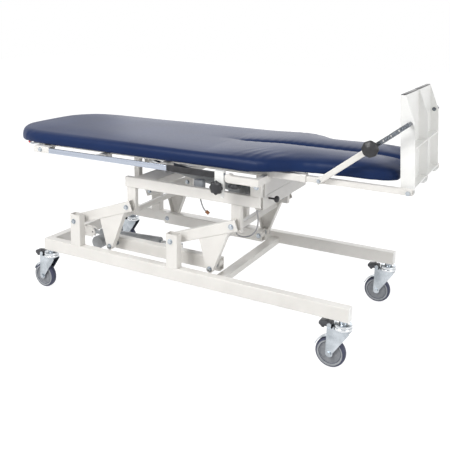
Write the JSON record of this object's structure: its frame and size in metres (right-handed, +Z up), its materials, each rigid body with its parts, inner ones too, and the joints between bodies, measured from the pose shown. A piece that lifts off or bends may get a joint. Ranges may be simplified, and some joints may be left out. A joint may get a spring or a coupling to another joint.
{
  "type": "tilt table",
  "caption": "Electric physiotherapy tilt table: padded top on a tilting frame, parallelogram lift, wheeled base with braked casters, side rails and adjustable upright foot plates.",
  "frame": {"origin": "the middle of the table's outline in plan, on the floor", "axes": "+X towards the foot end along the pad, +Y towards the far side, +Z up"},
  "size_m": [2.091, 0.764, 1.0938],
  "materials": {
    "cream_paint": "semi-gloss powder coat",
    "white_paint": "satin powder coat",
    "pad_vinyl": "satin coated upholstery vinyl",
    "polished_rail": "polished",
    "zinc": "zinc plated",
    "chrome_rod": "bright",
    "dark_steel": "satin",
    "grey_housing": "satin",
    "grey_plastic": "matte",
    "dark_plastic": "matte",
    "black_plastic": "satin",
    "grey_rubber": "matte",
    "cable_jacket": "matte"
  },
  "bodies": {
    "base": {"base_rail_near": "cream_paint", "base_rail_far": "cream_paint", "base_cross_tubes": "cream_paint", "lift_posts": "cream_paint", "rail_end_caps": "dark_plastic", "caster_stems": "zinc", "arm_pivot_bolts": "zinc"},
    "lift_arms_head": {"head_arms": "cream_paint", "head_arm_cross_tube": "cream_paint", "head_link_bolts": "zinc"},
    "lift_arms_foot": {"foot_arms": "cream_paint", "foot_arm_cross_tube": "cream_paint", "foot_link_bolts": "zinc"},
    "link_near": {"link_bar_near": "cream_paint"},
    "link_far": {"link_bar_far": "cream_paint"},
    "lift_motor": {"lift_actuator": "grey_housing"},
    "lift_rod": {"lift_rod": "chrome_rod"},
    "upper_frame": {"upper_side_tubes": "cream_paint", "upper_legs": "cream_paint", "upper_cross_tubes": "cream_paint", "upper_pivot_bolts": "zinc", "limit_switch_box": "grey_plastic", "tilt_hinge_bolts": "zinc", "switch_cable": "cable_jacket", "loop_cable": "cable_jacket"},
    "frame_knob": {"frame_knob": "black_plastic"},
    "top_frame": {"top_side_tubes": "cream_paint", "top_cross_tubes": "cream_paint", "pad": "pad_vinyl", "side_rails": "polished_rail", "rail_sleeve": "black_plastic", "rail_brackets": "cream_paint", "leg_sleeves": "cream_paint"},
    "tilt_rod": {"tilt_rod": "chrome_rod"},
    "tilt_motor": {"tilt_actuator": "grey_housing"},
    "accessory_clamp": {"accessory_clamp": "cream_paint"},
    "clamp_knob": {"clamp_knob": "black_plastic"},
    "rail_knob": {"rail_knob": "black_plastic"},
    "foot_section": {"foot_slide": "cream_paint", "foot_plate_bolts": "zinc"},
    "foot_plate_near": {"foot_plate_near": "white_paint"},
    "foot_plate_far": {"foot_plate_far": "white_paint"},
    "strut_tube_near": {"strut_tube_near": "cream_paint"},
    "strut_bar_near": {"strut_bar_near": "dark_steel"},
    "strut_knob_near": {"strut_knob_near": "black_plastic"},
    "strut_tube_far": {"strut_tube_far": "cream_paint"},
    "strut_bar_far": {"strut_bar_far": "dark_steel"},
    "strut_knob_far": {"strut_knob_far": "black_plastic"},
    "caster_fork_head_near": {"caster_fork_head_near": "zinc"},
    "caster_wheel_head_near": {"caster_wheel_head_near": "grey_rubber"},
    "brake_pedal_head_near": {"brake_pedal_head_near": "dark_plastic"},
    "caster_fork_head_far": {"caster_fork_head_far": "zinc"},
    "caster_wheel_head_far": {"caster_wheel_head_far": "grey_rubber"},
    "brake_pedal_head_far": {"brake_pedal_head_far": "dark_plastic"},
    "caster_fork_foot_near": {"caster_fork_foot_near": "zinc"},
    "caster_wheel_foot_near": {"caster_wheel_foot_near": "grey_rubber"},
    "brake_pedal_foot_near": {"brake_pedal_foot_near": "dark_plastic"},
    "caster_fork_foot_far": {"caster_fork_foot_far": "zinc"},
    "caster_wheel_foot_far": {"caster_wheel_foot_far": "grey_rubber"},
    "brake_pedal_foot_far": {"brake_pedal_foot_far": "dark_plastic"}
  },
  "joints": [
    {"name": "lift", "type": "hinge", "parent": "base", "child": "lift_arms_head", "pos_m": [-0.5345, 0.008, 0.388], "axis": [0, -1, 0], "range_deg": [-35, 30.4]},
    {"name": "lift_foot_arms", "type": "hinge", "parent": "base", "child": "lift_arms_foot", "pos_m": [0.0265, 0.008, 0.388], "axis": [0, -1, 0], "range_deg": [-35.1, 30.5]},
    {"name": "upper_frame_level", "type": "hinge", "parent": "lift_arms_head", "child": "upper_frame", "pos_m": [-0.2613, 0.008, 0.48528], "axis": [0, -1, 0], "range_deg": [-30.5, 35.1]},
    {"name": "link_near_pivot", "type": "hinge", "parent": "lift_arms_head", "child": "link_near", "pos_m": [-0.36705, -0.212, 0.27248], "axis": [0, -1, 0], "range_deg": [-30.5, 35.1]},
    {"name": "link_far_pivot", "type": "hinge", "parent": "lift_arms_head", "child": "link_far", "pos_m": [-0.36705, 0.228, 0.27248], "axis": [0, -1, 0], "range_deg": [-30.5, 35.1]},
    {"name": "lift_motor_tail", "type": "hinge", "parent": "base", "child": "lift_motor", "pos_m": [-0.6395, -0.084, 0.238], "axis": [0, -1, 0], "range_deg": [-9.85, 8.57]},
    {"name": "lift_rod_stroke", "type": "slide", "parent": "lift_motor", "child": "lift_rod", "axis": [0.999, 0, 0.045], "range_m": [-0.07541, 0.06557]},
    {"name": "tilt", "type": "hinge", "parent": "upper_frame", "child": "top_frame", "pos_m": [0.4027, 0.008, 0.66828], "axis": [0, 1, 0], "range_deg": [0, 85]},
    {"name": "tilt_rod_pivot", "type": "hinge", "parent": "top_frame", "child": "tilt_rod", "pos_m": [-0.2375, -0.142, 0.69028], "axis": [0, -1, 0], "range_deg": [-0.1, 1.85]},
    {"name": "tilt_stroke", "type": "slide", "parent": "tilt_rod", "child": "tilt_motor", "axis": [0.9888, 0, -0.149], "range_m": [-0.0005, 0.10816]},
    {"name": "foot_extension", "type": "slide", "parent": "top_frame", "child": "foot_section", "axis": [1, 0, 0], "range_m": [0, 0.1]},
    {"name": "foot_plate_near_tilt", "type": "hinge", "parent": "foot_section", "child": "foot_plate_near", "pos_m": [1.0275, -0.108, 0.73028], "axis": [0, 1, 0], "range_deg": [-5, 15]},
    {"name": "strut_near_pivot", "type": "hinge", "parent": "foot_section", "child": "strut_tube_near", "pos_m": [0.6848, -0.27, 0.73728], "axis": [0, 1, 0], "range_deg": [-1.92, 5.54]},
    {"name": "strut_near_length", "type": "slide", "parent": "strut_tube_near", "child": "strut_bar_near", "axis": [0.7948, 0, 0.6069], "range_m": [-0.01837, 0.0541]},
    {"name": "strut_knob_near_turn", "type": "hinge", "parent": "strut_tube_near", "child": "strut_knob_near", "pos_m": [0.88826, -0.27, 0.89265], "axis": [0, -1, 0], "range_deg": [-90, 360]},
    {"name": "foot_plate_far_tilt", "type": "hinge", "parent": "foot_section", "child": "foot_plate_far", "pos_m": [1.0275, 0.124, 0.73028], "axis": [0, 1, 0], "range_deg": [-5, 15]},
    {"name": "strut_far_pivot", "type": "hinge", "parent": "foot_section", "child": "strut_tube_far", "pos_m": [0.6848, 0.286, 0.73728], "axis": [0, 1, 0], "range_deg": [-1.92, 5.54]},
    {"name": "strut_far_length", "type": "slide", "parent": "strut_tube_far", "child": "strut_bar_far", "axis": [0.7948, 0, 0.6069], "range_m": [-0.01837, 0.0541]},
    {"name": "strut_knob_far_turn", "type": "hinge", "parent": "strut_tube_far", "child": "strut_knob_far", "pos_m": [0.88826, 0.286, 0.89265], "axis": [0, 1, 0], "range_deg": [-90, 360]},
    {"name": "frame_knob_turn", "type": "hinge", "parent": "upper_frame", "child": "frame_knob", "pos_m": [0.4247, -0.181, 0.60528], "axis": [1, 0, 0], "range_deg": [-90, 360]},
    {"name": "clamp_slide", "type": "slide", "parent": "top_frame", "child": "accessory_clamp", "axis": [1, 0, 0], "range_m": [-0.25, 0]},
    {"name": "clamp_knob_turn", "type": "hinge", "parent": "accessory_clamp", "child": "clamp_knob", "pos_m": [0.2705, -0.352, 0.67428], "axis": [0, -1, 0], "range_deg": [-90, 360]},
    {"name": "rail_knob_turn", "type": "hinge", "parent": "top_frame", "child": "rail_knob", "pos_m": [0.3415, -0.3395, 0.69628], "axis": [0, 0, -1], "range_deg": [-90, 360]},
    {"name": "caster_swivel_head_near", "type": "hinge", "parent": "base", "child": "caster_fork_head_near", "pos_m": [-0.7075, -0.332, 0.171], "axis": [0, 0, 1], "continuous": true},
    {"name": "wheel_spin_head_near", "type": "hinge", "parent": "caster_fork_head_near", "child": "caster_wheel_head_near", "pos_m": [-0.7545, -0.332, 0.0625], "axis": [0, 1, 0], "continuous": true},
    {"name": "brake_pedal_head_near_press", "type": "hinge", "parent": "caster_fork_head_near", "child": "brake_pedal_head_near", "pos_m": [-0.7595, -0.332, 0.18], "axis": [0, -1, 0], "range_deg": [0, 12]},
    {"name": "caster_swivel_head_far", "type": "hinge", "parent": "base", "child": "caster_fork_head_far", "pos_m": [-0.7075, 0.348, 0.171], "axis": [0, 0, 1], "continuous": true},
    {"name": "wheel_spin_head_far", "type": "hinge", "parent": "caster_fork_head_far", "child": "caster_wheel_head_far", "pos_m": [-0.7545, 0.348, 0.0625], "axis": [0, 1, 0], "continuous": true},
    {"name": "brake_pedal_head_far_press", "type": "hinge", "parent": "caster_fork_head_far", "child": "brake_pedal_head_far", "pos_m": [-0.7595, 0.348, 0.18], "axis": [0, -1, 0], "range_deg": [0, 12]},
    {"name": "caster_swivel_foot_near", "type": "hinge", "parent": "base", "child": "caster_fork_foot_near", "pos_m": [0.8265, -0.332, 0.171], "axis": [0, 0, 1], "continuous": true},
    {"name": "wheel_spin_foot_near", "type": "hinge", "parent": "caster_fork_foot_near", "child": "caster_wheel_foot_near", "pos_m": [0.7795, -0.332, 0.0625], "axis": [0, 1, 0], "continuous": true},
    {"name": "brake_pedal_foot_near_press", "type": "hinge", "parent": "caster_fork_foot_near", "child": "brake_pedal_foot_near", "pos_m": [0.7745, -0.332, 0.18], "axis": [0, -1, 0], "range_deg": [0, 12]},
    {"name": "caster_swivel_foot_far", "type": "hinge", "parent": "base", "child": "caster_fork_foot_far", "pos_m": [0.8265, 0.348, 0.171], "axis": [0, 0, 1], "continuous": true},
    {"name": "wheel_spin_foot_far", "type": "hinge", "parent": "caster_fork_foot_far", "child": "caster_wheel_foot_far", "pos_m": [0.7795, 0.348, 0.0625], "axis": [0, 1, 0], "continuous": true},
    {"name": "brake_pedal_foot_far_press", "type": "hinge", "parent": "caster_fork_foot_far", "child": "brake_pedal_foot_far", "pos_m": [0.7745, 0.348, 0.18], "axis": [0, -1, 0], "range_deg": [0, 12]}
  ],
  "couplings": [
    {"joint": "lift_foot_arms", "follows": "lift", "ratio": 1},
    {"joint": "upper_frame_level", "follows": "lift", "ratio": -1},
    {"joint": "link_near_pivot", "follows": "lift", "ratio": -1},
    {"joint": "link_far_pivot", "follows": "lift", "ratio": -1},
    {"joint": "lift_motor_tail", "follows": "lift", "ratio": 0.2787},
    {"joint": "lift_rod_stroke", "follows": "lift", "m_per_rad": 0.12263},
    {"joint": "tilt_rod_pivot", "follows": "tilt", "ratio": 0.0206},
    {"joint": "tilt_stroke", "follows": "tilt", "m_per_rad": 0.07257},
    {"joint": "strut_near_pivot", "follows": "foot_plate_near_tilt", "ratio": 0.363},
    {"joint": "strut_near_length", "follows": "foot_plate_near_tilt", "m_per_rad": 0.20475},
    {"joint": "strut_far_pivot", "follows": "foot_plate_far_tilt", "ratio": 0.363},
    {"joint": "strut_far_length", "follows": "foot_plate_far_tilt", "m_per_rad": 0.20475}
  ]
}
